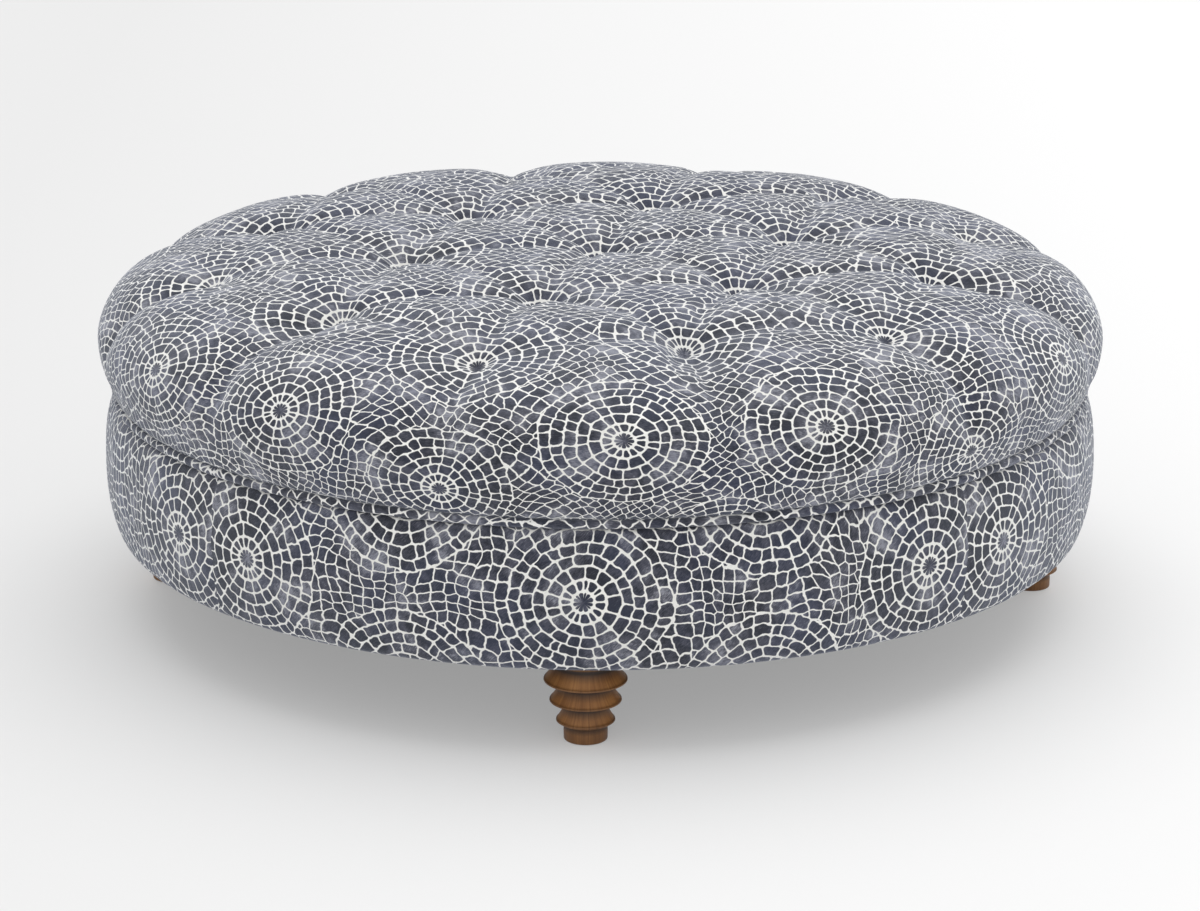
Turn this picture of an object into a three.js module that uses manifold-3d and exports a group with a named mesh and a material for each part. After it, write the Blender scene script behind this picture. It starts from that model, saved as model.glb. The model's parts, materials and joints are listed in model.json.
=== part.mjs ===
// A large round tuffet: a tufted cushion on an upholstered drum, carried by four turned legs.
// Millimetres, +Z up. The origin is on the floor under the centre. The legs stand on the diagonals.
import * as THREE from 'three';
import { mergeVertices } from 'three/addons/utils/BufferGeometryUtils.js';
import Module from 'manifold-3d';

const wasm = await Module();
wasm.setup();

// Clearances between pieces that touch
const clearance = 0.3;
const foamClearance = 0.6;
const cutOverrun = 5;
const mergeDistance = 0.0001;

// Cushion
const cushionRadius = 584;
const shoulderWidth = 130;
const shoulderRise = 73;
const underTuckHeight = 59.5;
const tuckInset = 24;
const puffRise = 26;
const valleyRise = 9;
const tuftSink = 13;
const tuftPull = 42;
const tuftMargin = 125;
const pleatDepth = 11;
const pleatWidth = 34;
const clothThickness = 1.5;

// Drum below the waist
const drumInset = 1.6;
const drumFootTaper = 17.4;
const drumFoamDepth = 30.4;
const ledgeInset = 20.4;
const drumWidestHeight = 75.3;
const hemWidth = 25;

// Welt in the waist
const weltRadius = 4.5;

// Timber frame
const ringThickness = 18;
const postWidth = 45;
const postHeight = 115;
const postInset = 4;
const wallThickness = 3;
const wallTopDrop = 3;
const drumFoamTopDrop = 2;
const deckInset = 6.5;
const deckThickness = 15;
const railWidth = 40;
const railDepth = 45;
const railTongue = 9;
const railLap = 40;

// Tuft ties
const tieHeadRadius = 8;
const tieHeadThickness = 2;
const tieCordRadius = 1.5;
const tieWasherRadius = 12;
const tieWasherRoom = 4;
const foamHoleRadius = 11;

// Underside cover
const dustCoverOverhang = 6;
const dustCoverThickness = 0.8;

// Turned legs, heights measured from the sole
const legInset = 37;
const legLength = 94.5;
const footRadius = 23.5;
const footHeight = 15.5;
const footRounding = 1.5;
const lowRingRadius = 31.8;
const lowRingHeight = 20.5;
const lowNeckRadius = 23.5;
const lowNeckHeight = 38;
const midRingRadius = 38.8;
const midRingHeight = 43.3;
const midNeckRadius = 28.5;
const midNeckHeight = 61;
const topRingRadius = 45;
const topRingHeight = 66.6;
const topNeckRadius = 34;
const topNeckHeight = 84.5;
const legRimThickness = 2;

// Fastenings and glides
const boltRadius = 4;
const boltInLeg = 35;
const boltAboveNut = 4;
const nutWall = 1.2;
const nutBarrelLength = 9;
const nutFlangeRadius = 11;
const nutFlangeThickness = 1.6;
const glideRadius = 19;
const glideThickness = 2.5;
const glidePinRadius = 1.5;
const glidePinLength = 14;

// Counts and curve shapes
const legCount = 4;
const postCount = 8;
const tuftRings = 2;
const stepsPerTuft = 4;
const latticeRings = tuftRings * stepsPerTuft;
const roundSegments = 60;
const legSegments = 16;
const smallSegments = 8;
const tieSegments = 6;
const pleatCount = 12;
const shoulderPower = 3.08;
const crownPower = 1.58;
const drumTopPower = 2.3;
const tuckPower = 1.65;
const drumFootPower = 1.62;
const puffPower = 0.6;
const rimShares = [0.865, 0.945];
const tuckAngleShares = [0, 0.42, 0.78, 1];
const drumTopShares = [0, 0.35, 0.62, 0.84, 1];
const drumFootShares = [1, 0.55, 0.25];
const bowlShares = [0.35, 0.7];
const puffFadeShares = [0.6, 0.9];
const pleatStartShare = 0.74;

// Radii and places in plan
const tuftSpacing = (cushionRadius - tuftMargin) / tuftRings;
const railPitch = tuftSpacing * Math.sqrt(3) / 2;
const drumRadius = cushionRadius - drumInset;
const drumFootRadius = drumRadius - drumFootTaper;
const ringOuterRadius = drumRadius - drumFoamDepth;
const ringInnerRadius = tuftSpacing * tuftRings + tieWasherRadius + tieWasherRoom;
const deckRadius = ringOuterRadius - deckInset;
const dustCoverRadius = ringOuterRadius + dustCoverOverhang;
const legCircleRadius = ringOuterRadius - legInset;
const hemInnerRadius = drumFootRadius - hemWidth;
const coverInnerRadius = deckRadius + clearance;
const ledgeRadius = drumRadius - ledgeInset;
const tuckRadius = cushionRadius - tuckInset;
const weltCircleRadius = ledgeRadius;
const wallInnerRadius = ringOuterRadius + clearance;
const wallOuterRadius = wallInnerRadius + wallThickness;

// Heights up the stack
const legBottom = glideThickness + clearance;
const legTop = legBottom + legLength;
const dustCoverBottom = legTop + clearance;
const hemBottom = dustCoverBottom + dustCoverThickness + clearance;
const baseBottom = hemBottom + clothThickness + clearance;
const baseTop = baseBottom + ringThickness;
const postBottom = baseTop + clearance;
const waistBottom = postBottom + postHeight + clearance;
const waistTop = waistBottom + ringThickness;
const deckBottom = waistTop + clearance;
const deckTop = deckBottom + deckThickness;
const drumTop = waistTop + clearance + clothThickness;
const weltHeight = drumTop + clearance + weltRadius;
const cushionBottom = weltHeight + weltRadius + clearance;
const cushionWidest = cushionBottom + underTuckHeight;
const cushionCrown = cushionWidest + shoulderRise;
const drumWidest = hemBottom + drumWidestHeight;
const foamBottom = deckTop + clearance;

const materials = {
  fabric: new THREE.MeshStandardMaterial({ color: 0xb9b7b4, roughness: 0.95, metalness: 0 }),
  welt: new THREE.MeshStandardMaterial({ color: 0xb9b7b4, roughness: 0.95, metalness: 0 }),
  foam: new THREE.MeshStandardMaterial({ color: 0xe9e1c4, roughness: 1, metalness: 0 }),
  walnut: new THREE.MeshStandardMaterial({ color: 0x966941, roughness: 0.45, metalness: 0 }),
  plywood: new THREE.MeshStandardMaterial({ color: 0xd2b184, roughness: 0.8, metalness: 0 }),
  pine: new THREE.MeshStandardMaterial({ color: 0xdcbf8e, roughness: 0.8, metalness: 0 }),
  hardboard: new THREE.MeshStandardMaterial({ color: 0x7a5a3c, roughness: 0.8, metalness: 0 }),
  cambric: new THREE.MeshStandardMaterial({ color: 0x1c1c1e, roughness: 0.95, metalness: 0 }),
  steel: new THREE.MeshStandardMaterial({ color: 0xb4b4b2, roughness: 0.4, metalness: 1 }),
  nylon: new THREE.MeshStandardMaterial({ color: 0x3a302a, roughness: 0.6, metalness: 0 }),
  twine: new THREE.MeshStandardMaterial({ color: 0xcbb994, roughness: 0.9, metalness: 0 }),
};

const tuffet = new THREE.Group();

function addPiece(name, geometry, material, parent = tuffet) {
  const mesh = new THREE.Mesh(geometry, material);
  mesh.name = name;
  parent.add(mesh);
  return mesh;
}

function toSolid(geometry) {
  const bare = geometry.clone();
  bare.deleteAttribute('normal');
  bare.deleteAttribute('uv');
  const merged = mergeVertices(bare, mergeDistance);
  return new wasm.Manifold(new wasm.Mesh({
    numProp: 3,
    vertProperties: new Float32Array(merged.attributes.position.array),
    triVerts: new Uint32Array(merged.index.array),
  }));
}

function toGeometry(solid) {
  const mesh = solid.getMesh();
  const geometry = new THREE.BufferGeometry();
  geometry.setAttribute('position', new THREE.BufferAttribute(new Float32Array(mesh.vertProperties), 3));
  geometry.setIndex(new THREE.BufferAttribute(new Uint32Array(mesh.triVerts), 1));
  geometry.computeVertexNormals();
  return geometry;
}

function meshFrom(points, faces) {
  const geometry = new THREE.BufferGeometry();
  geometry.setAttribute('position', new THREE.Float32BufferAttribute(points.flat(), 3));
  geometry.setIndex(faces.flat());
  geometry.computeVertexNormals();
  return geometry;
}

// A profile of [radius, height] pairs, counter-clockwise with the axis on its left, turned round Z
function revolve(profile, segments) {
  const geometry = new THREE.LatheGeometry(profile.map(([r, z]) => new THREE.Vector2(r, z)), segments);
  return geometry.rotateX(Math.PI / 2);
}

function closedRing(profile, segments) {
  return revolve([...profile, profile[0]], segments);
}

function circlePoints(radius, segments, x = 0, y = 0) {
  return Array.from({ length: segments }, (_, i) => {
    const angle = 2 * Math.PI * i / segments;
    return new THREE.Vector2(x + radius * Math.cos(angle), y + radius * Math.sin(angle));
  });
}

// A flat round board with round holes
function board(radius, thickness, holes) {
  const outline = new THREE.Shape(circlePoints(radius, roundSegments));
  for (const hole of holes) {
    outline.holes.push(new THREE.Path(circlePoints(hole.radius, hole.segments, hole.x, hole.y)));
  }
  return new THREE.ExtrudeGeometry(outline, { depth: thickness, bevelEnabled: false });
}

function onCircle(radius, angle) {
  return { x: radius * Math.cos(angle), y: radius * Math.sin(angle) };
}

// The tufts stand on a triangular grid, two rings round the middle one
function tuftPlaces() {
  const places = [];
  for (let row = -tuftRings; row <= tuftRings; row += 1) {
    for (let column = -tuftRings; column <= tuftRings; column += 1) {
      if (Math.abs(row + column) <= tuftRings) {
        places.push({ x: tuftSpacing * (column + row / 2), y: railPitch * row });
      }
    }
  }
  return places;
}

const tufts = tuftPlaces();

function smoothStep(low, high, value) {
  const t = Math.min(1, Math.max(0, (value - low) / (high - low)));
  return t * t * (3 - 2 * t);
}

// Height of the cushion's envelope over a point at this radius
function crownHeight(radius) {
  const across = Math.max(0, (radius - cushionRadius + shoulderWidth) / shoulderWidth);
  const share = Math.max(0, 1 - across ** shoulderPower) ** (1 / crownPower);
  return cushionWidest + shoulderRise * share;
}

// 1 at the middle of a triangle of three tufts and 0 on the lines that join tufts
function puffShare(x, y) {
  const rows = [0, 1, 2].map((i) => {
    const angle = Math.PI * i / 3;
    return (y * Math.cos(angle) - x * Math.sin(angle)) / railPitch;
  });
  const peak = Math.sin(Math.PI / 3) ** 3;
  const product = rows.reduce((total, row) => total * Math.abs(Math.sin(Math.PI * row)), 1);
  return (product / peak) ** puffPower;
}

// How strongly the nearest tuft draws the cover down, 1 on the tuft itself
function tuftShare(x, y) {
  const nearest = Math.min(...tufts.map((tuft) => Math.hypot(x - tuft.x, y - tuft.y)));
  return Math.exp(-nearest / tuftPull);
}

function pleatShare(radius, angle) {
  const turn = 2 * Math.PI / pleatCount;
  const off = angle - turn * Math.round(angle / turn);
  return Math.exp(-((off * radius / pleatWidth) ** 2));
}

function topPoint(x, y) {
  const radius = Math.hypot(x, y);
  const fade = 1 - smoothStep(puffFadeShares[0] * cushionRadius, puffFadeShares[1] * cushionRadius, radius);
  const pull = tuftShare(x, y);
  const rise = valleyRise * (1 - pull) + (puffRise - valleyRise) * puffShare(x, y);
  const pleat = smoothStep(pleatStartShare * cushionRadius, cushionRadius, radius);
  const drop = pleatDepth * pleat * pleatShare(radius, Math.atan2(y, x));
  return [x, y, crownHeight(radius) + fade * rise - tuftSink * pull - drop];
}

// Rings of points: a triangular grid out to the last tufts, circles over the shoulder and the side
function cushionRings() {
  const rings = [[topPoint(0, 0)]];
  const step = tuftSpacing / stepsPerTuft;
  for (let ring = 1; ring <= latticeRings; ring += 1) {
    const points = [];
    for (let side = 0; side < 6; side += 1) {
      const from = onCircle(ring * step, Math.PI * side / 3);
      const to = onCircle(ring * step, Math.PI * (side + 1) / 3);
      for (let i = 0; i < ring; i += 1) {
        const t = i / ring;
        points.push(topPoint(from.x + (to.x - from.x) * t, from.y + (to.y - from.y) * t));
      }
    }
    rings.push(points);
  }
  rimShares.forEach((share, i) => {
    const count = 6 * (latticeRings + 1 + i);
    rings.push(circlePoints(share * cushionRadius, count).map((p) => topPoint(p.x, p.y)));
  });
  for (const share of tuckAngleShares) {
    const turn = share * Math.PI / 2;
    const radius = tuckRadius + tuckInset * Math.cos(turn) ** (2 / tuckPower);
    const height = cushionWidest - underTuckHeight * Math.sin(turn) ** (2 / tuckPower);
    const points = circlePoints(radius, roundSegments).map((p) => {
      const angle = Math.atan2(p.y, p.x);
      const pinch = pleatDepth * (1 - share) ** 2 * pleatShare(radius, angle);
      const scale = (radius - pinch) / radius;
      return [p.x * scale, p.y * scale, height];
    });
    rings.push(points);
  }
  rings.push(circlePoints(coverInnerRadius, roundSegments).map((p) => [p.x, p.y, cushionBottom]));
  return rings;
}

// Faces between two rings of points, whose counts may differ by one on each of the six sides
function bridgeRings(inner, outer, innerStart, outerStart) {
  const faces = [];
  if (inner === 1) {
    for (let i = 0; i < outer; i += 1) {
      faces.push([innerStart, outerStart + i, outerStart + (i + 1) % outer]);
    }
    return faces;
  }
  if (inner === outer) {
    for (let i = 0; i < inner; i += 1) {
      const next = (i + 1) % inner;
      faces.push([innerStart + i, outerStart + i, outerStart + next]);
      faces.push([innerStart + i, outerStart + next, innerStart + next]);
    }
    return faces;
  }
  const innerSide = inner / 6;
  const outerSide = outer / 6;
  for (let side = 0; side < 6; side += 1) {
    for (let i = 0; i < outerSide; i += 1) {
      const a = innerStart + (side * innerSide + i) % inner;
      const b = outerStart + (side * outerSide + i) % outer;
      const c = outerStart + (side * outerSide + i + 1) % outer;
      faces.push([a, b, c]);
      if (i < innerSide) {
        faces.push([a, c, innerStart + (side * innerSide + i + 1) % inner]);
      }
    }
  }
  return faces;
}

function sheetFaces(rings) {
  const faces = [];
  let start = 0;
  for (let i = 0; i + 1 < rings.length; i += 1) {
    const next = start + rings[i].length;
    faces.push(...bridgeRings(rings[i].length, rings[i + 1].length, start, next));
    start = next;
  }
  return faces;
}

// The same rings moved inward along the surface's own normals
function offsetRings(rings, distance) {
  const geometry = meshFrom(rings.flat(), sheetFaces(rings));
  const normal = geometry.attributes.normal;
  let index = 0;
  return rings.map((ring) => ring.map(([x, y, z]) => {
    const point = [
      x - normal.getX(index) * distance,
      y - normal.getY(index) * distance,
      z - normal.getZ(index) * distance,
    ];
    index += 1;
    return point;
  }));
}

function flipped(faces, shift) {
  return faces.map(([a, b, c]) => [a + shift, c + shift, b + shift]);
}

// The cover: a thin shell that ends against the edge of the deck
function coverGeometry(rings) {
  const inner = offsetRings(rings, clothThickness);
  const last = inner.length - 1;
  inner[last] = rings[last].map(([x, y, z]) => [x, y, z + clothThickness]);
  const count = rings.flat().length;
  const faces = sheetFaces(rings);
  const shell = [...faces, ...flipped(faces, count)];
  const edge = count - rings[last].length;
  for (let i = 0; i < rings[last].length; i += 1) {
    const next = (i + 1) % rings[last].length;
    shell.push([edge + i, edge + count + i, edge + count + next]);
    shell.push([edge + i, edge + count + next, edge + next]);
  }
  return meshFrom([...rings.flat(), ...inner.flat()], shell);
}

// The foam under it, cut flat where it lies on the deck and holed for the ties
function foamGeometry(rings) {
  const inner = offsetRings(rings.slice(0, -1), clothThickness + foamClearance);
  const last = inner.length - 1;
  inner[last] = inner[last].map(([x, y, z], i) => {
    const [fromX, fromY, fromZ] = inner[last - 1][i];
    const t = (fromZ - foamBottom) / (fromZ - z);
    return [fromX + (x - fromX) * t, fromY + (y - fromY) * t, foamBottom];
  });
  const faces = sheetFaces(inner);
  const points = inner.flat();
  const edge = points.length - inner[last].length;
  const centre = points.length;
  points.push([0, 0, foamBottom]);
  for (let i = 0; i < inner[last].length; i += 1) {
    faces.push([edge + i, centre, edge + (i + 1) % inner[last].length]);
  }
  let solid = toSolid(meshFrom(points, faces));
  const height = cushionCrown + puffRise - foamBottom + 2 * cutOverrun;
  for (const tuft of tufts) {
    const hole = new THREE.CylinderGeometry(foamHoleRadius, foamHoleRadius, height, smallSegments);
    hole.rotateX(Math.PI / 2);
    hole.translate(tuft.x, tuft.y, foamBottom - cutOverrun + height / 2);
    solid = solid.subtract(toSolid(hole));
  }
  return toGeometry(solid);
}

// Outer outline of the drum's cover from the foot up to the ledge under the welt
function drumOutline() {
  const foot = drumFootShares.map((share) => {
    const turn = share * Math.PI / 2;
    return [
      drumFootRadius + (drumRadius - drumFootRadius) * Math.cos(turn) ** (2 / drumFootPower),
      drumWidest - drumWidestHeight * Math.sin(turn) ** (2 / drumFootPower),
    ];
  });
  const top = drumTopShares.map((share) => {
    const turn = share * Math.PI / 2;
    return [
      ledgeRadius + ledgeInset * Math.cos(turn) ** (2 / drumTopPower),
      drumWidest + (drumTop - drumWidest) * Math.sin(turn) ** (2 / drumTopPower),
    ];
  });
  return [...foot, ...top];
}

// The outline moved inward, towards the axis, by its own corner normals
function offsetOutline(outline, distance) {
  return outline.map(([r, z], i) => {
    const [r0, z0] = outline[Math.max(0, i - 1)];
    const [r1, z1] = outline[Math.min(outline.length - 1, i + 1)];
    const length = Math.hypot(r1 - r0, z1 - z0);
    return [r - (z1 - z0) / length * distance, z + (r1 - r0) / length * distance];
  });
}

function clipOutline(outline, low, high) {
  const points = [];
  outline.forEach(([r, z], i) => {
    if (i > 0) {
      const [r0, z0] = outline[i - 1];
      for (const level of [low, high]) {
        if ((z0 - level) * (z - level) < 0) {
          points.push([r0 + (r - r0) * (level - z0) / (z - z0), level]);
        }
      }
    }
    if (z >= low && z <= high) {
      points.push([r, z]);
    }
  });
  return points;
}

function drumCoverGeometry() {
  const outline = drumOutline();
  const ledge = waistTop + clearance;
  const inside = clipOutline(offsetOutline(outline, clothThickness), baseBottom - clearance, ledge);
  const [innerFootRadius] = inside[0];
  return closedRing([
    [hemInnerRadius, hemBottom],
    ...outline,
    [coverInnerRadius, drumTop],
    [coverInnerRadius, ledge],
    ...inside.reverse(),
    [Math.min(innerFootRadius, drumFootRadius), hemBottom + clothThickness],
    [hemInnerRadius, hemBottom + clothThickness],
  ], roundSegments);
}

function drumFoamGeometry() {
  const outer = offsetOutline(drumOutline(), clothThickness + foamClearance);
  const top = waistTop - drumFoamTopDrop;
  const clipped = clipOutline(outer, baseBottom, top);
  const inner = wallOuterRadius + clearance;
  return closedRing([[inner, baseBottom], ...clipped, [inner, top]], roundSegments);
}

// The rounded underside of a ring, from the neck below it out to its rim
function bowl([neckRadius, neckHeight], [rimRadius, rimHeight]) {
  return bowlShares.map((share) => [
    neckRadius + (rimRadius - neckRadius) * Math.sin(share * Math.PI / 2),
    rimHeight - (rimHeight - neckHeight) * Math.cos(share * Math.PI / 2),
  ]);
}

function legRing(neckBelow, radius, height, neckAbove) {
  const low = [radius, height - legRimThickness / 2];
  const high = [radius, height + legRimThickness / 2];
  return [...bowl(neckBelow, low), low, high, neckAbove];
}

function legGeometry() {
  const foot = [footRadius, footHeight];
  const lowNeck = [lowNeckRadius, lowNeckHeight];
  const midNeck = [midNeckRadius, midNeckHeight];
  const topNeck = [topNeckRadius, topNeckHeight];
  return revolve([
    [0, glidePinLength + clearance],
    [glidePinRadius + clearance, glidePinLength + clearance],
    [glidePinRadius + clearance, 0],
    [footRadius - footRounding, 0],
    [footRadius, footRounding],
    foot,
    ...legRing(foot, lowRingRadius, lowRingHeight, lowNeck),
    ...legRing(lowNeck, midRingRadius, midRingHeight, midNeck),
    ...legRing(midNeck, topRingRadius, topRingHeight, topNeck),
    [topNeckRadius, legLength],
    [boltRadius + clearance, legLength],
    [boltRadius + clearance, legLength - boltInLeg - clearance],
    [0, legLength - boltInLeg - clearance],
  ], legSegments);
}

function glideGeometry() {
  return revolve([
    [0, 0],
    [glideRadius, 0],
    [glideRadius, glideThickness],
    [glidePinRadius, glideThickness],
    [glidePinRadius, glideThickness + glidePinLength],
    [0, glideThickness + glidePinLength],
  ], legSegments);
}

function nutGeometry() {
  const bore = boltRadius + clearance;
  const barrel = bore + nutWall;
  const flangeBottom = baseTop + clearance;
  return closedRing([
    [bore, baseTop - nutBarrelLength],
    [barrel, baseTop - nutBarrelLength],
    [barrel, flangeBottom],
    [nutFlangeRadius, flangeBottom],
    [nutFlangeRadius, flangeBottom + nutFlangeThickness],
    [bore, flangeBottom + nutFlangeThickness],
  ], smallSegments);
}

// A hidden head under the cover, a cord down through foam and deck, and a washer below the deck
function tieGeometry(headTop) {
  const washerTop = deckBottom - clearance;
  return revolve([
    [0, washerTop - tieHeadThickness],
    [tieWasherRadius, washerTop - tieHeadThickness],
    [tieWasherRadius, washerTop],
    [tieCordRadius, washerTop],
    [tieCordRadius, headTop - tieHeadThickness],
    [tieHeadRadius, headTop - tieHeadThickness],
    [tieHeadRadius, headTop],
    [0, headTop],
  ], tieSegments);
}

const railPlace = railPitch / 2;
const boreFlatRadius = ringInnerRadius * Math.cos(Math.PI / roundSegments);
const railBodyHalf = Math.sqrt(boreFlatRadius ** 2 - (railPlace + railWidth / 2) ** 2) - clearance;

// A cross rail: a deep middle between the rings' bores and a thin tongue at each end
function railGeometry() {
  const tongueHalf = railBodyHalf + railLap;
  const outline = new THREE.Shape([
    new THREE.Vector2(-tongueHalf, 0),
    new THREE.Vector2(-tongueHalf, -railTongue),
    new THREE.Vector2(-railBodyHalf, -railTongue),
    new THREE.Vector2(-railBodyHalf, -railDepth),
    new THREE.Vector2(railBodyHalf, -railDepth),
    new THREE.Vector2(railBodyHalf, -railTongue),
    new THREE.Vector2(tongueHalf, -railTongue),
    new THREE.Vector2(tongueHalf, 0),
  ]);
  const geometry = new THREE.ExtrudeGeometry(outline, { depth: railWidth, bevelEnabled: false });
  geometry.rotateX(Math.PI / 2);
  return geometry.translate(0, railWidth / 2, 0);
}

// The upper ring, with a housing for each tongue of the rails
function waistRingGeometry() {
  const bore = { radius: ringInnerRadius, segments: roundSegments, x: 0, y: 0 };
  let solid = toSolid(board(ringOuterRadius, ringThickness, [bore]));
  const length = 2 * (railBodyHalf + railLap + clearance);
  const depth = railTongue + clearance + cutOverrun;
  for (const side of [-1, 1]) {
    const housing = new THREE.BoxGeometry(length, railWidth + 2 * clearance, depth);
    housing.translate(0, side * railPlace, ringThickness - railTongue - clearance + depth / 2);
    solid = solid.subtract(toSolid(housing));
  }
  return toGeometry(solid);
}

const boltHoleRadius = boltRadius + clearance;
const nutHoleRadius = boltHoleRadius + nutWall + clearance;
const cornerNames = ['back_right', 'back_left', 'front_left', 'front_right'];
const corners = cornerNames.map((name, i) => {
  const angle = 2 * Math.PI * (i + 0.5) / legCount;
  return { name, ...onCircle(legCircleRadius, angle) };
});

// Legs with their glides and fastenings
for (const { name, x, y } of corners) {
  const corner = new THREE.Group();
  corner.position.set(x, y, 0);
  tuffet.add(corner);
  addPiece(`glide_${name}`, glideGeometry(), materials.nylon, corner);
  addPiece(`leg_${name}`, legGeometry(), materials.walnut, corner).position.z = legBottom;
  const boltBottom = legTop - boltInLeg;
  const boltTop = baseTop + clearance + nutFlangeThickness + boltAboveNut;
  const bolt = new THREE.CylinderGeometry(boltRadius, boltRadius, boltTop - boltBottom, smallSegments);
  bolt.rotateX(Math.PI / 2);
  addPiece(`leg_bolt_${name}`, bolt, materials.steel, corner).position.z = (boltTop + boltBottom) / 2;
  addPiece(`leg_nut_${name}`, nutGeometry(), materials.steel, corner);
}

// Underside cover and timber frame
const legHoles = (radius) => corners.map(({ x, y }) => ({ radius, segments: smallSegments, x, y }));
const dustCover = board(dustCoverRadius, dustCoverThickness, legHoles(boltHoleRadius));
addPiece('dust_cover', dustCover, materials.cambric).position.z = dustCoverBottom;

const ringBore = { radius: ringInnerRadius, segments: roundSegments, x: 0, y: 0 };
const baseRing = board(ringOuterRadius, ringThickness, [ringBore, ...legHoles(nutHoleRadius)]);
addPiece('base_ring', baseRing, materials.plywood).position.z = baseBottom;

for (let i = 0; i < postCount; i += 1) {
  const angle = 2 * Math.PI * (i + 0.5) / postCount;
  const place = onCircle(ringOuterRadius - postInset - postWidth / 2, angle);
  const timber = new THREE.BoxGeometry(postWidth, postWidth, postHeight);
  const post = addPiece(`frame_post_${i + 1}`, timber, materials.pine);
  post.position.set(place.x, place.y, postBottom + postHeight / 2);
  post.rotation.z = angle;
}

addPiece('waist_ring', waistRingGeometry(), materials.plywood).position.z = waistBottom;
addPiece('deck_rail_front', railGeometry(), materials.pine).position.set(0, -railPlace, waistTop);
addPiece('deck_rail_back', railGeometry(), materials.pine).position.set(0, railPlace, waistTop);

const tieHoleRadius = tieCordRadius + clearance;
const tieHoles = tufts.map(({ x, y }) => ({ radius: tieHoleRadius, segments: tieSegments, x, y }));
const deckBoard = board(deckRadius, deckThickness, tieHoles);
addPiece('deck_board', deckBoard, materials.plywood).position.z = deckBottom;

// Drum upholstery
const wall = closedRing([
  [wallInnerRadius, baseBottom],
  [wallOuterRadius, baseBottom],
  [wallOuterRadius, waistTop - wallTopDrop],
  [wallInnerRadius, waistTop - wallTopDrop],
], roundSegments);
addPiece('band_wall', wall, materials.hardboard);
addPiece('band_foam', drumFoamGeometry(), materials.foam);
addPiece('band_cover', drumCoverGeometry(), materials.fabric);

const weltSection = circlePoints(weltRadius, smallSegments, weltCircleRadius, weltHeight);
addPiece('waist_welt', closedRing(weltSection.map((p) => [p.x, p.y]), roundSegments), materials.welt);

// How far the cover falls below a tuft within reach of its tie's head, where the shoulder slopes away
function dipDrop(x, y) {
  const step = tuftSpacing / stepsPerTuft;
  const heights = circlePoints(step, roundSegments, x, y).map((p) => topPoint(p.x, p.y)[2]);
  const fall = Math.max(0, topPoint(x, y)[2] - Math.min(...heights));
  return fall / step * tieHeadRadius;
}

// Cushion
const rings = cushionRings();
tufts.forEach(({ x, y }, i) => {
  const headTop = topPoint(x, y)[2] - clothThickness - clearance - dipDrop(x, y);
  const tie = addPiece(`tuft_tie_${String(i + 1).padStart(2, '0')}`, tieGeometry(headTop), materials.twine);
  tie.position.set(x, y, 0);
});
addPiece('top_foam', foamGeometry(rings), materials.foam);
addPiece('top_cover', coverGeometry(rings), materials.fabric);

export default tuffet;
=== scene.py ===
import json
import math

import bmesh
import bpy
import numpy as np
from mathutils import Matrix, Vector


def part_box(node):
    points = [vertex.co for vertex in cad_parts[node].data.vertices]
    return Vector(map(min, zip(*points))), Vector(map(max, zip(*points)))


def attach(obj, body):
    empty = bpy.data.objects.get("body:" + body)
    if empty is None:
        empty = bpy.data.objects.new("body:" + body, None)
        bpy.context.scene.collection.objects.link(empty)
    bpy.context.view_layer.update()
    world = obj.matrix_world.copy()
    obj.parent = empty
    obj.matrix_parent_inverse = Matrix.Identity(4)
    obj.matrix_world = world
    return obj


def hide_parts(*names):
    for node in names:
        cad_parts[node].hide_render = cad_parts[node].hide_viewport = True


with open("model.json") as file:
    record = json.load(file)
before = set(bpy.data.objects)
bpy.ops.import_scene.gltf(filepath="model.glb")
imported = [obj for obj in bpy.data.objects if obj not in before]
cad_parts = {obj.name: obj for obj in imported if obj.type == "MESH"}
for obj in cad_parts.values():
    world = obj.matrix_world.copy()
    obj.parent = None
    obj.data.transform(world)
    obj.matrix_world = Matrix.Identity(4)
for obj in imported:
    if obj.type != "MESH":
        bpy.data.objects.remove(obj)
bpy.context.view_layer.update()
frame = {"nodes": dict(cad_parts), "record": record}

scene = bpy.context.scene
scene.view_settings.view_transform = "Standard"

# Camera

shot = {
    "heading": 46.71,  # degrees round from the front, towards the right
    "distance": 4.319,
    "height": 1.493,
    "pitch": 17.17,
    "lens": 113.97,
}


def newObject(name, data):
    obj = bpy.data.objects.new(name, data)
    bpy.context.collection.objects.link(obj)
    return obj


def addCamera():
    heading = math.radians(shot["heading"])
    camera = newObject("camera", bpy.data.cameras.new("camera"))
    camera.data.sensor_width = 36
    camera.data.lens = shot["lens"]
    camera.location = (
        shot["distance"] * math.sin(heading),
        -shot["distance"] * math.cos(heading),
        shot["height"],
    )
    camera.rotation_euler = (math.radians(90 - shot["pitch"]), 0, heading)
    scene.camera = camera


addCamera()
print("camera ready")


# Node wiring: sums on wires read as sums


class wire:
    def __init__(self, socket):
        self.socket = socket

    # Another output of the same node
    def beside(self, output):
        return wire(self.socket.node.outputs[output])

    def __add__(self, other):
        return calc("ADD", self, other)

    __radd__ = __add__

    def __sub__(self, other):
        return calc("SUBTRACT", self, other)

    def __rsub__(self, other):
        return calc("SUBTRACT", other, self)

    def __mul__(self, other):
        return calc("MULTIPLY", self, other)

    __rmul__ = __mul__

    def __truediv__(self, other):
        return calc("DIVIDE", self, other)

    def __abs__(self):
        return calc("ABSOLUTE", self)


# Wires or plain values into a node's inputs, which are called by name or number
def feed(node, feeds):
    for key, value in feeds.items():
        if isinstance(value, wire):
            node.id_data.links.new(value.socket, node.inputs[key])
        else:
            node.inputs[key].default_value = value


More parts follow.
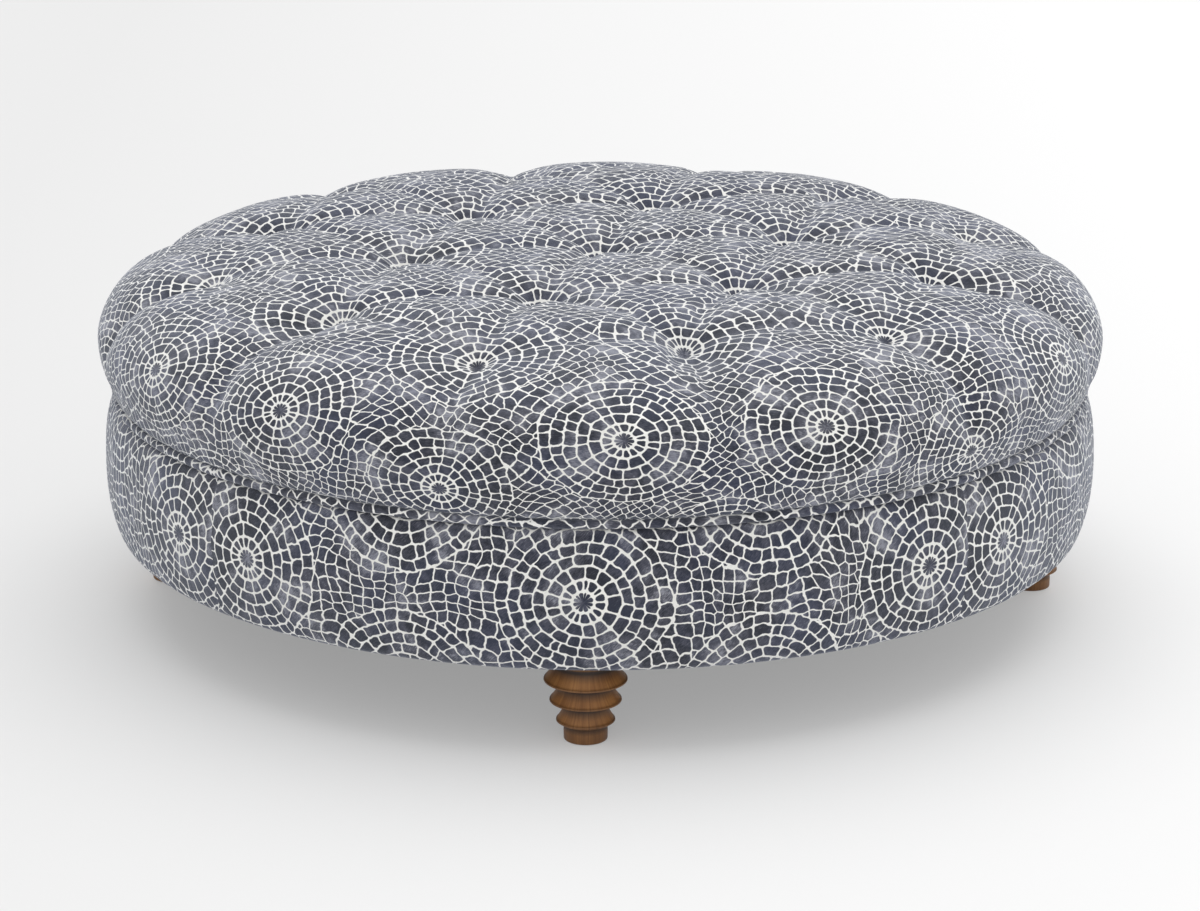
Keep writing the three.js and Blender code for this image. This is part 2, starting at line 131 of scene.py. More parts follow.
# A new node, in the tree given or in that of the first wire fed to it, as a wire from its output
def addNode(kind, feeds, output=0, tree=None, **settings):
    if tree is None:
        tree = next(value.socket.id_data for value in feeds.values() if isinstance(value, wire))
    node = tree.nodes.new(kind)
    for name, value in settings.items():
        setattr(node, name, value)
    feed(node, feeds)
    return wire(node.outputs[output])


# A node that nothing feeds: a uv map, an attribute, coordinates, the kind of ray or a glow
def source(material, kind, output=0, **settings):
    return addNode("ShaderNode" + kind, {}, output, material.node_tree, **settings)


def calc(kind, *values, clamp=False):
    return addNode("ShaderNodeMath", dict(enumerate(values)), operation=kind, use_clamp=clamp)


def ramp01(value, low, high):
    return calc("DIVIDE", value - low, high - low, clamp=True)


def combine(*values):
    return addNode("ShaderNodeCombineXYZ", dict(enumerate(values)))


def separate(vector):
    x = addNode("ShaderNodeSeparateXYZ", {0: vector})
    return x, x.beside(1), x.beside(2)


def noise(vector, scale, detail=2.0, rough=0.5, output="Fac"):
    feeds = {"Vector": vector, "Scale": scale, "Detail": detail, "Roughness": rough}
    return addNode("ShaderNodeTexNoise", feeds, output)


def chance(vector, seed):
    return addNode("ShaderNodeTexWhiteNoise", {"Vector": vector, "W": seed}, noise_dimensions="4D")


def mixColour(share, first, second):
    return addNode("ShaderNodeMix", {0: share, 6: first, 7: second}, 2, data_type="RGBA")


def table(value, stops, interpolation="CONSTANT"):
    answer = addNode("ShaderNodeValToRGB", {"Fac": value})
    ramp = answer.socket.node.color_ramp
    ramp.interpolation = interpolation
    while len(ramp.elements) < len(stops):
        ramp.elements.new(0.5)
    for element, (place, colour) in zip(ramp.elements, stops):
        element.position = place
        element.color = colour
    return answer, answer.beside("Alpha")


def newMaterial(name, roughness, specular=0.3, metallic=0.0):
    material = bpy.data.materials.new(name)
    material.use_nodes = True
    shader = material.node_tree.nodes["Principled BSDF"]
    feed(shader, {"Roughness": roughness, "Specular IOR Level": specular, "Metallic": metallic})
    return material, shader


def addBump(shader, height, distance, strength):
    feeds = {"Strength": strength, "Distance": distance, "Height": height}
    feed(shader, {"Normal": addNode("ShaderNodeBump", feeds)})


def linear(red, green, blue):
    def one(value):
        share = value / 255
        return share / 12.92 if share <= 0.04045 else ((share + 0.055) / 1.055) ** 2.4
    return (one(red), one(green), one(blue), 1.0)


# The print: roundels of ringed tiles on a triangular grid, with cobbles between them

printing = {
    "repeat": 229.5,  # mm between roundels, as are all lengths here
    "rings": [  # outer radius, tiles round the ring, half of the joint
        (11.5, 12, 0.6),
        (24.5, 15, 0.95),
        (39.5, 14, 0.9),
        (52.5, 17, 0.88),
        (66.0, 24, 0.84),
        (79.5, 30, 0.82),
        (93.0, 36, 0.82),
        (140.0, 50, 0.8),
    ],
    "tileShift": 0.46,  # share of a tile
    "tileRounding": 4.3,
    "innerRing": 0.45,  # how much wider the ring joints are near the middle
    "innerReach": (18, 42),
    "petals": (2, 13),  # the joints of the middle disc close up towards the first radius
    "petalSpread": 0.35,
    "calmReach": (4, 70),  # the rings waver more from the first radius to the second
    "calmLeast": 0.12,
    "bend": (24, 13),  # scale of the noise, and how far it moves a tile
    "wobble": (95, 6),
    "cobble": 13.8,
    "cobbleJoint": 0.8,
    "cobbleRounding": 3.2,
    "cobbleLuck": 0.46,  # 0 is a square grid
    "drift": (9, 60),
    "cobbleWobble": 5,
    "joint": [(0.9, 260, 3.0, 0.7), (0.6, 850, 2.0, 0.6)],  # how much a noise widens it, and the noise
    "edge": (-0.15, 0.22),
    "tileTone": 0.2,  # shares of each cause in how pale a tile is printed
    "patchTone": 0.62,
    "washTone": 1.0,
    "brushTone": 1.5,
    "baseTone": -1.18,
    "middleTone": -0.12,
    "rimTone": 0.08,
    "patches": (17, 3.0, 0.6),  # scale, detail and roughness of each noise
    "wash": (110, 3.0, 0.6),
    "brush": (620, 3.0, 0.7),
    "brushGrain": 0.2,  # share of its scale along the stroke
    "patchReach": (0.46, 0.64),
    "middleReach": (30, 85),
    "rimReach": (0.1, 1.6),
    "inks": [(0.0, linear(42, 44, 52)), (0.42, linear(76, 77, 87)), (1.0, linear(148, 149, 158))],
    "blue": linear(68, 75, 104),
    "blueShare": 0.3,
    "blueNoise": (13, 2.0, 0.6, "Color"),
    "blueReach": (0.42, 0.66),
    "ground": linear(251, 250, 246),
    "groundDim": linear(230, 229, 224),
    "fadeReach": (0.75, 1.3),
    "thread": 0.0016,  # metres
    "weaveShare": 0.3,
    "slub": (900, 2.0, 0.6),
    "slubGrain": 0.25,
}


def nearestRoundel(x, y):
    repeat = printing["repeat"]
    rowStep = repeat * math.sqrt(3)
    evenX = calc("ROUND", x / repeat) * repeat
    evenY = calc("ROUND", y / rowStep) * rowStep
    oddX = (calc("ROUND", x / repeat - 0.5) + 0.5) * repeat
    oddY = (calc("ROUND", y / rowStep - 0.5) + 0.5) * rowStep
    toEven = (x - evenX) * (x - evenX) + (y - evenY) * (y - evenY)
    toOdd = (x - oddX) * (x - oddX) + (y - oddY) * (y - oddY)
    odd = calc("GREATER_THAN", toEven, toOdd)
    return evenX + (oddX - evenX) * odd, evenY + (oddY - evenY) * odd


# Inner and outer radius, tile count and half joint of the ring a point lies in
def ringTable(radius):
    rings = printing["rings"]
    reach = rings[-1][0]
    mostTiles = 64
    widestJoint = 4
    stops = []
    inner = 0.0
    for outer, count, joint in rings:
        place = inner / reach
        stops.append((place, (place, outer / reach, count / mostTiles, joint / widestJoint)))
        inner = outer
    colour, alpha = table(radius / reach, stops)
    low, high, count = separate(colour)
    count = calc("ROUND", count * mostTiles)
    return low * reach, high * reach, count, alpha * widestJoint


# Distance to the edge of the cobble a point lies in, and a number of its own
def cobbles(x, y):
    size = printing["cobble"]
    place = combine(x / size, y / size)
    feeds = {"Vector": place, "Scale": 1, "Randomness": printing["cobbleLuck"]}
    answers = []
    for feature, output in (("DISTANCE_TO_EDGE", "Distance"), ("F1", "Color")):
        settings = {"voronoi_dimensions": "2D", "feature": feature}
        answers.append(addNode("ShaderNodeTexVoronoi", feeds, output, **settings))
    return answers[0] * size, separate(answers[1])[0]


def drift(uv, setting):
    scale, reach = setting
    x, y, ignored = separate(noise(uv, scale, 1.0, 0.5, "Color"))
    return (x - 0.5) * reach, (y - 0.5) * reach


# The nearest side of a tile in its ring, and the number of the tile
def ringTiles(along, count, cell):
    step = calc("ROUND", along)
    nearest = None
    turned = None
    for offset in (-1, 0, 1):
        number = calc("MODULO", step + count + offset, count)
        shift = (chance(cell, number + 10) - 0.5) * printing["tileShift"]
        distance = along - step - offset - shift
        if offset == 0:
            turned = calc("LESS_THAN", distance, 0.0)
        distance = abs(distance)
        nearest = distance if nearest is None else calc("MINIMUM", nearest, distance)
    return nearest, calc("MODULO", step - turned + count, count)


def mosaic(uv):
    u, v, ignored = separate(uv)
    x = u * 1000
    y = v * 1000
    centreX, centreY = nearestRoundel(x, y)
    plainX = x - centreX
    plainY = y - centreY
    plainRadius = calc("SQRT", plainX * plainX + plainY * plainY)
    calmLeast = printing["calmLeast"]
    calm = ramp01(plainRadius, *printing["calmReach"]) * (1 - calmLeast) + calmLeast
    bendX, bendY = drift(uv, printing["bend"])
    wobbleX, wobbleY = drift(uv, printing["wobble"])
    localX = plainX + (bendX + wobbleX) * calm
    localY = plainY + (bendY + wobbleY) * calm
    radius = calc("SQRT", localX * localX + localY * localY)
    low, high, count, joint = ringTable(radius)
    cell = combine(centreX * 0.01, centreY * 0.01, low * 0.37)
    turn = calc("ARCTAN2", localY, localX) / (math.tau)
    along = calc("FRACT", turn + 1.5 + chance(cell, 3.0)) * count
    sideShare, tile = ringTiles(along, count, cell)
    sideGap = sideShare * radius * (math.tau) / count
    fromInner = radius - low + calc("LESS_THAN", low, 1.0) * 20  # the middle has no inner joint
    ringGap = calc("MINIMUM", fromInner, high - radius)
    nearMiddle = 1 - ramp01(plainRadius, *printing["innerReach"])
    ringGap = ringGap - nearMiddle * printing["innerRing"]
    gap = calc("SMOOTH_MIN", sideGap, ringGap, printing["tileRounding"])
    luck = chance(cell, tile)

    driftX, driftY = drift(uv, printing["drift"])
    share = printing["cobbleWobble"] / printing["wobble"][1]
    cobbleGap, cobbleLuck = cobbles(x + driftX + wobbleX * share, y + driftY + wobbleY * share)
    lastRing = printing["rings"][-2][0]
    outside = calc("GREATER_THAN", low, lastRing - 1)
    fromRing = abs(radius - lastRing)
    cobbleGap = calc("SMOOTH_MIN", cobbleGap, fromRing, printing["cobbleRounding"])
    gap = gap + (cobbleGap - gap) * outside
    joint = joint + (printing["cobbleJoint"] - joint) * outside
    luck = luck + (cobbleLuck - luck) * outside

    for width, *settings in printing["joint"]:
        joint = joint + (noise(uv, *settings) - 0.5) * width
    petal = ramp01(plainRadius, *printing["petals"])
    inPetal = (1 - petal) * printing["petalSpread"]
    cover = ramp01(gap - joint * petal + inPetal, *printing["edge"])
    patches = noise(uv, *printing["patches"])
    brush = noise(combine((u + v) * printing["brushGrain"], u - v), *printing["brush"])
    wash = noise(uv, *printing["wash"])
    tone = luck * printing["tileTone"]
    tone = tone + ramp01(patches, *printing["patchReach"]) * printing["patchTone"]
    tone = tone + wash * printing["washTone"] + brush * printing["brushTone"] + printing["baseTone"]
    tone = tone + (1 - ramp01(plainRadius, *printing["middleReach"])) * printing["middleTone"]
    tone = tone + (1 - ramp01(gap - joint, *printing["rimReach"])) * printing["rimTone"]
    ink, unused = table(tone, printing["inks"], "EASE")
    tint = ramp01(separate(noise(uv, *printing["blueNoise"]))[1], *printing["blueReach"])
    ink = mixColour(tint * printing["blueShare"], ink, printing["blue"])
    faded = ramp01(brush + patches, *printing["fadeReach"])
    ground = mixColour(faded, printing["ground"], printing["groundDim"])
    return mixColour(cover, ground, ink)


def weaveHeight(uv):
    u, v, ignored = separate(uv)
    pitch = math.tau / printing["thread"]
    weave = calc("SINE", (u + v) * pitch) * calc("SINE", (u - v) * pitch)
    slub = noise(combine(u * printing["slubGrain"], v), *printing["slub"])
    return weave * printing["weaveShare"] + slub


def printedCloth():
    material, shader = newMaterial("printedCloth", 0.88, 0.22)
    uv = source(material, "UVMap", uv_map="cloth")
    sheen = {"Sheen Weight": 0.45, "Sheen Roughness": 0.5, "Sheen Tint": (0.8, 0.86, 1.0, 1.0)}
    feed(shader, {"Base Color": mosaic(uv), **sheen})
    addBump(shader, weaveHeight(uv), 0.0005, 0.5)
    return material


walnut = {
    "stain": [(0.3, linear(72, 45, 26)), (0.5, linear(138, 93, 52)), (0.72, linear(180, 128, 75))],
    # Painted shade: the dark brown laid into the turned grooves, under the rims and round the foot
    "groove": linear(46, 30, 20),
    "grooveShadeShare": 0.85,
    "streaks": [(60, 5, 4.0, 0.62), (260, 22, 3.0, 0.6)],  # times round and up, and the noise's detail
    "cloud": 22,
    "toneShares": (0.45, 0.35, 0.3),
    "roughness": (0.36, 0.2),  # at least, and what the fine streaks add
}


def turnedWood():
    material, shader = newMaterial("stainedWalnut", 0.42, 0.4)
    place = source(material, "TexCoord", "Object")
    around, up, ignored = separate(source(material, "UVMap", uv_map="turning"))
    grain = []
    for turns, rises, detail, rough in walnut["streaks"]:
        grain.append(noise(combine(around * turns, up * rises), 1.0, detail, rough))
    grain.append(noise(place, walnut["cloud"]))
    parts = [item * share for item, share in zip(grain, walnut["toneShares"])]
    tone = parts[0] + parts[1] + parts[2]
    colour, unused = table(tone, walnut["stain"], "LINEAR")
    # Painted shade: the groove attribute darkens the stain in the grooves and under the rims, where
    # shade falls
    groove = source(material, "Attribute", "Fac", attribute_name="groove")
    colour = mixColour(groove * walnut["grooveShadeShare"], colour, walnut["groove"])
    least, more = walnut["roughness"]
    feed(shader, {"Base Color": colour, "Roughness": grain[1] * more + least})
    addBump(shader, grain[1], 0.0003, 0.35)
    return material


def plainMaterial(name, low, high, scale, roughness, stretch=(1, 1, 1), metallic=0.0, bump=0.0003):
    material, shader = newMaterial(name, roughness, 0.3, metallic)
    coords = separate(source(material, "TexCoord", "Object"))
    place = combine(*[wide * share for wide, share in zip(coords, stretch)])
    grain = noise(place, scale, 4.0, 0.6)
    colour = mixColour(ramp01(grain, 0.3, 0.7), linear(*low), linear(*high))
    feed(shader, {"Base Color": colour})
    addBump(shader, grain, bump, 0.5)
    return material


cambric = {"thread": 0.0018, "weaveShare": 0.25, "fluff": (160, 3.0, 0.6), "reach": (0.2, 0.9)}


def cambricCloth():
    material, shader = newMaterial("blackCambric", 0.95, 0.15)
    place = source(material, "TexCoord", "Object")
    x, y, ignored = separate(place)
    pitch = math.tau / cambric["thread"]
    weave = calc("SINE", x * pitch) * calc("SINE", y * pitch)
    thread = weave * cambric["weaveShare"] + noise(place, *cambric["fluff"])
    tone = ramp01(thread, *cambric["reach"])
    colour = mixColour(tone, linear(18, 18, 20), linear(46, 46, 48))
    feed(shader, {"Base Color": colour})
    addBump(shader, thread, 0.0004, 0.6)
    return material


finishes = {
    "fabric": printedCloth(),
    "walnut": turnedWood(),
    "foam": plainMaterial("creamFoam", (214, 202, 158), (238, 228, 190), 700, 0.95),
    "plywood": plainMaterial("birchPlywood", (188, 152, 104), (218, 188, 142), 9, 0.7, (1, 14, 60)),
    "pine": plainMaterial("pineBatten", (200, 164, 110), (230, 202, 152), 14, 0.7, (8, 8, 1)),
    "hardboard": plainMaterial("hardboard", (96, 66, 42), (132, 96, 62), 500, 0.75),
    "cambric": cambricCloth(),
    "steel": plainMaterial("zincedSteel", (150, 150, 148), (196, 196, 194), 120, 0.38, (1, 1, 6), 1.0),
    "nylon": plainMaterial("brownNylon", (44, 34, 28), (66, 52, 43), 300, 0.5),
    "twine": plainMaterial("waxedTwine", (176, 152, 108), (214, 194, 150), 800, 0.85),
}
finishes["welt"] = finishes["fabric"]
for row in frame["record"]["subparts"]:
    node = frame["nodes"][row["node"]]
    for slot in node.material_slots:
        slot.material = finishes[row["material_slot"]]
print("materials ready")


# Helpers for meshes and for the frame's nodes


def nodesCalled(start):
    return [name for name in sorted(frame["nodes"]) if name.startswith(start)]


def middleOf(node):
    low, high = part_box(node)
    return (low.x + high.x) / 2, (low.y + high.y) / 2


def meshObject(name, points, faces, material, smooth=True):
    mesh = bpy.data.meshes.new(name)
    mesh.from_pydata([tuple(p) for p in points], [], [tuple(f) for f in faces])
    mesh.polygons.foreach_set("use_smooth", [smooth] * len(mesh.polygons))
    mesh.update()
    mesh.materials.append(material)
    return newObject(name, mesh)


def loopVertices(obj):
    index = np.zeros(len(obj.data.loops), int)
    obj.data.loops.foreach_get("vertex_index", index)
    return index


def setUv(obj, name, coords):
    layer = obj.data.uv_layers.new(name=name)
    layer.data.foreach_set("uv", np.asarray(coords, float).ravel())


def smoothStep(low, high, value):
    t = np.clip((value - low) / (high - low), 0, 1)
    return t * t * (3 - 2 * t)


def evenTurns(count):
    return math.tau * np.arange(count) / count


# Faces between two rings of points, given where each starts
def quadRow(low, high, count):
    return [(low + k, low + (k + 1) % count, high + (k + 1) % count, high + k) for k in range(count)]


def outlineLength(r, z):
    return np.concatenate([[0], np.cumsum(np.hypot(np.diff(r), np.diff(z)))])


def evenly(r, z, count):
    arc = outlineLength(r, z)
    even = np.linspace(0, arc[-1], count)
    return np.interp(even, arc, r), np.interp(even, arc, z), even


# Floor and light

studio = {
    "skyStrength": 0.725,
    "sunStrength": 1.42,
    "sunSpread": 70,  # degrees
    "sunTilt": (-14, -10),
    "frontPower": 12,
    "frontSize": 2.8,
    "frontPlace": (3.6, -3.0, 1.6),
    "frontAim": (0, 0, 0.2),
    "floorSize": 80,
    "floor": (0.785, 0.915),  # grey from the photo's left to its right
    "backdrop": (0.76, 0.93),  # the same for what the camera sees
    "backdropShare": 0.36,
    "backdropRays": ("Camera", "Glossy", "Transmission"),
}


# A plain matt floor, lifted towards white for the eye only, with a painted falloff of light: its grey
# rises from the left of the view to the right
def paleFloor():
    material, shader = newMaterial("paleFloor", 0.9, 0.1)
    x, y, ignored = separate(source(material, "TexCoord", "Object"))
    heading = math.radians(shot["heading"])
    # Painted light: the share across the view that raises the floor's grey towards the right
    across = ramp01(x * math.cos(heading) + y * math.sin(heading), -1.0, 1.0)
    glow = source(material, "Emission")
    for what, node, key in (("floor", shader, "Base Color"), ("backdrop", glow.socket.node, "Color")):
        left, right = studio[what]
        tone = across * (right - left) + left
        feed(node, {key: combine(tone, tone, tone)})
    rays = [source(material, "LightPath", "Is %s Ray" % kind) for kind in studio["backdropRays"]]
    seen = calc("ADD", rays[0] + rays[1], rays[2], clamp=True) * studio["backdropShare"]
    mixed = addNode("ShaderNodeMixShader", {0: seen, 1: wire(shader.outputs[0]), 2: glow})
    feed(material.node_tree.nodes["Material Output"], {"Surface": mixed})
    return material


def addLamp(kind, name, power, place):
    lamp = bpy.data.lights.new(name, kind)
    lamp.energy = power
    obj = newObject(name, lamp)
    obj.location = place
    return obj


def addStudio():
    world = bpy.data.worlds.new("studio")
    scene.world = world
    world.use_nodes = True
    sky = world.node_tree.nodes["Background"]
    feed(sky, {"Color": (1, 1, 1, 1), "Strength": studio["skyStrength"]})
    sun = addLamp("SUN", "overheadSun", studio["sunStrength"], (0, 0, 4))
    sun.data.angle = math.radians(studio["sunSpread"])
    sun.rotation_euler = [math.radians(angle) for angle in studio["sunTilt"]] + [0]
    front = addLamp("AREA", "frontLamp", studio["frontPower"], studio["frontPlace"])
    front.data.shape = "DISK"
    front.data.size = studio["frontSize"]
    aim = Vector(studio["frontAim"]) - front.location
    front.rotation_euler = aim.to_track_quat("-Z", "Y").to_euler()
    half = studio["floorSize"] / 2
    corners = [(-half, -half, 0), (half, -half, 0), (half, half, 0), (-half, half, 0)]
    floor = meshObject("floor", corners, [(0, 1, 2, 3)], paleFloor(), False)


addStudio()
print("studio ready")


# The cushion: cloth laid out as a flat disc, mapped over crown, shoulder and side, and drawn down at
# the tufts. Distances on the disc are called arc or away, in metres like the rest.

cushion = {
    "radius": 0.5828,
    "shoulderWidth": 0.130,
    "shoulderRise": 0.073,
    "underTuck": 0.0595,
    "tuckInset": 0.0145,
    "tuckPower": 1.5,
    "seat": 0.0016,  # how far the cover is pressed down onto the welt
    "edgeInset": 0.00022,
    "underShares": (0.8, 0.4, 0.05),  # rings of the closed underside
    "shoulderPower": 3.08,
    "crownPower": 1.58,
    "stepsPerTuft": 23,
    "crowding": 0.5,  # how far the mesh gathers towards the tufts
    "hexEdge": 8,  # rows in which the hexagon of the tufts turns into the rim's circle
    "hexStep": 0.75,  # how near they lie, as a share of the others' distance
    "puffRise": 0.026,
    "puffReach": 0.128,
    "puffPower": 2.6,
    "puffFadeShares": (0.60, 0.93),  # of the radius
    "funnelWidth": 0.0155,
    "funnelShare": 0.75,
    "tuftSink": 0.0128,
    "funnelTip": 0.2,
    "valley": 0.0075,
    "valleyWidth": 0.017,
    "valleyEndShares": (1.72, 2.05),  # of the spacing of the tufts
    "pleat": 0.008,
    "pleatWidth": (0.020, 0.044),  # at the tuft, and from pleatOpening outwards
    "pleatOpening": 0.12,
    "pleatLead": 0.02,
    "pleatEnd": (0.585, 0.665),
    "gather": 0.006,
    "gatherReach": 0.09,
    "crease": 0.005,
    "creaseWidth": 0.008,
    "tuftClear": 0.026,  # the pleats stop short of the tufts
    "lobe": 0.0045,  # fullness between the pleats
    "lobeStart": (0.43, 0.51),
    "lobeEnd": (0.55, 0.63),
    "stitchSlip": 0.008,  # how far outside the roundel's centre the rim tufts are stitched
    "slipReach": 0.035,
    "slipStartShares": (1.5, 1.7),  # of the spacing of the tufts
    "stretchStart": 0.430,  # from here outwards the print runs wider, as over the shoulder
    "stretchReach": 0.153,
    "stretch": 0.021,
    "stretchPower": 2.12,
}
relaxing = {
    "frames": 18,
    "tuftHold": 0.012,
    "rimHold": 0.052,
    "moveCap": 0.005,
    "feel": {
        "quality": 5,
        "mass": 0.25,
        "tension_stiffness": 30,
        "compression_stiffness": 20,
        "shear_stiffness": 12,
        "bending_stiffness": 1.5,
        "air_damping": 3,
        "shrink_min": -0.02,
        "use_pressure": True,
        "uniform_pressure_force": 1.0,
    },
}
seatGap = 0.0003  # between pieces that lie on each other
coverLow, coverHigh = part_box("top_cover")
bandLow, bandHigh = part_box("band_cover")
tufts = np.array([middleOf(node) for node in nodesCalled("tuft_tie_")])
spacing = np.sort(np.hypot(*tufts.T))[1]
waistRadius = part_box("deck_board")[1].x + seatGap
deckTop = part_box("deck_board")[1].z


def cushionProfile():
    width = cushion["shoulderWidth"]
    widest = coverLow.z + cushion["underTuck"]
    turn = np.linspace(0, math.pi / 2, 400)
    shoulderR = cushion["radius"] - width + width * np.sin(turn) ** (2 / cushion["shoulderPower"])
    shoulderZ = widest + cushion["shoulderRise"] * np.cos(turn) ** (2 / cushion["crownPower"])
    turn = turn[1:]
    tuckR = cushion["radius"] - cushion["tuckInset"] * (1 - np.cos(turn) ** (2 / cushion["tuckPower"]))
    bottom = coverLow.z - cushion["seat"]
    tuckZ = widest - (widest - bottom) * np.sin(turn) ** (2 / cushion["tuckPower"])
    r = np.concatenate([[0], shoulderR, tuckR, [waistRadius]])
    z = np.concatenate([[widest + cushion["shoulderRise"]], shoulderZ, tuckZ, [bottom]])
    r, z, even = evenly(r, z, 700)
    slopeR = np.gradient(r, even)
    slopeZ = np.gradient(z, even)
    length = np.hypot(slopeR, slopeZ)
    return even, r, z, -slopeZ / length, slopeR / length


arcTable, radiusTable, heightTable, normalRTable, normalZTable = cushionProfile()
clothReach = arcTable[-1]
rowTurns = (0, math.pi / 3, math.tau / 3)


def fromTufts(flat):
    return np.hypot(flat[:, None, 0] - tufts[None, :, 0], flat[:, None, 1] - tufts[None, :, 1])


def puffHeight(flat):
    arc = np.hypot(*flat.T)
    angle = np.arctan2(flat[:, 1], flat[:, 0])
    nearest = fromTufts(flat).min(1)
    slope = np.clip(1 - nearest / cushion["puffReach"], 0, 1) ** cushion["puffPower"]
    tip = cushion["funnelTip"]
    funnel = np.exp(-np.hypot(nearest / cushion["funnelWidth"], tip) + tip)
    pull = slope + (funnel - slope) * cushion["funnelShare"]
    rowStep = spacing * math.sqrt(3) / 2
    toLine = np.full(len(flat), 1.0)
    for turn in rowTurns:
        across = (flat[:, 1] * math.cos(turn) - flat[:, 0] * math.sin(turn)) / rowStep
        toLine = np.minimum(toLine, np.abs(across - np.round(across)) * rowStep)
    fade = 1 - smoothStep(*cushion["puffFadeShares"], arc / cushion["radius"])
    inside = 1 - smoothStep(*cushion["valleyEndShares"], arc / spacing)
    valley = cushion["valley"] * np.exp(-(toLine / cushion["valleyWidth"]) ** 2) * inside
    rise = (fade * cushion["puffRise"] - valley) * (1 - pull) - cushion["tuftSink"] * pull
    # A pleat runs out from each rim tuft, every 30 degrees
    sector = math.pi / 6
    spoke = np.round(angle / sector)
    start = np.where(spoke % 2 == 0, 2.0, math.sqrt(3)) * spacing
    across = np.abs(angle - spoke * sector) * arc
    lead = cushion["pleatLead"]
    ramp = smoothStep(start - lead, start + lead, arc) * (1 - smoothStep(*cushion["pleatEnd"], arc))
    depth = cushion["gather"] * (1 - smoothStep(start, start + cushion["gatherReach"], arc))
    narrow, wide = cushion["pleatWidth"]
    width = narrow + (wide - narrow) * smoothStep(start, start + cushion["pleatOpening"], arc)
    fold = (cushion["pleat"] + depth) * np.exp(-(across / width) ** 2)
    fold = fold + cushion["crease"] * np.exp(-across / cushion["creaseWidth"])
    clear = 1 - np.exp(-(nearest / cushion["tuftClear"]) ** 2)
    lobe = smoothStep(*cushion["lobeStart"], arc) * (1 - smoothStep(*cushion["lobeEnd"], arc))
    return rise + cushion["lobe"] * lobe - ramp * fold * clear


# The nearest tuft, the direction and distance from it, and how far its hexagonal cell reaches that way
def tuftCells(flat):
    away = fromTufts(flat)
    centre = tufts[away.argmin(1)]
    distance = away.min(1)
    heading = (flat - centre) / np.maximum(distance, 1e-6)[:, None]
    heading = np.where(distance[:, None] > 1e-6, heading, (1.0, 0.0))
    across = np.zeros(len(flat))
    for turn in rowTurns:
        toSide = np.abs(heading[:, 0] * math.cos(turn) + heading[:, 1] * math.sin(turn))
        across = np.maximum(across, toSide)
    return centre, heading, distance, spacing / 2 / across


def overCushion(flat, lift):
    arc = np.hypot(*flat.T)
    safe = np.maximum(arc, 1e-9)
    radius = np.interp(arc, arcTable, radiusTable) + np.interp(arc, arcTable, normalRTable) * lift
    height = np.interp(arc, arcTable, heightTable) + np.interp(arc, arcTable, normalZTable) * lift
    return np.column_stack([flat[:, 0] / safe * radius, flat[:, 1] / safe * radius, height])


def polar(radius, angle):
    return np.column_stack([radius * np.cos(angle), radius * np.sin(angle)])


def discRings():
    step = spacing / cushion["stepsPerTuft"]
    straight = 2 * cushion["stepsPerTuft"]
    rings = [np.zeros((1, 2))]
    lastHex = straight + cushion["hexEdge"]
    flatRadius = straight * step
    for ring in range(1, lastHex + 1):
        corners = polar(ring * step, evenTurns(6))
        share = (np.arange(ring) / ring)[:, None]
        sides = [corners[k] * (1 - share) + corners[(k + 1) % 6] * share for k in range(6)]
        points = np.concatenate(sides)
        blend = smoothStep(straight - 3, lastHex, ring)
        if blend > 0:
            angle = np.arctan2(points[:, 1], points[:, 0])
            angle = np.unwrap(np.mod(angle, math.tau))
            angle = angle * (1 - blend) + evenTurns(6 * ring) * blend
            own = np.hypot(*points.T)
            circle = flatRadius + (ring - straight) * step * cushion["hexStep"]
            own = own * (1 - blend) + circle * blend
            points = polar(own, angle)
        rings.append(points)
    reach = np.hypot(*rings[-1][0])
    count = len(rings[-1])
    rows = int(round((clothReach - reach) / step))
    for row in range(1, rows + 1):
        rings.append(polar(reach + (clothReach - reach) * row / rows, evenTurns(count)))
    return rings


# Faces between two rings of the disc, given how many points each has and where it starts
def bridge(inner, outer, innerStart, outerStart):
    faces = []
    if inner == outer:
        for k in range(inner):
            after = (k + 1) % inner
            faces.append((innerStart + k, outerStart + k, outerStart + after, innerStart + after))
        return faces
    innerSide = inner // 6
    outerSide = outer // 6
    for side in range(6):
        for k in range(outerSide):
            a = innerStart + (side * innerSide + k) % inner
            b = outerStart + (side * outerSide + k) % outer
            c = outerStart + (side * outerSide + k + 1) % outer
            faces.append((a, b, c))
            if k < innerSide:
                faces.append((a, c, innerStart + (side * innerSide + k + 1) % inner))
    return faces


# Draw the mesh of each tuft's cell in towards the tuft
def gather(flat):
    centre, heading, distance, edge = tuftCells(flat)
    share = np.clip(distance / edge, 0, 1)
    nearer = edge * share * (1 - cushion["crowding"] * (1 - share))
    return np.where((distance < edge)[:, None], centre + heading * nearer[:, None], flat)


def discFaces(rings):
    faces = []
    start = 0
    for inner, outer in zip(rings[:-1], rings[1:]):
        following = start + len(inner)
        faces += bridge(len(inner), len(outer), start, following)
        start = following
    return faces


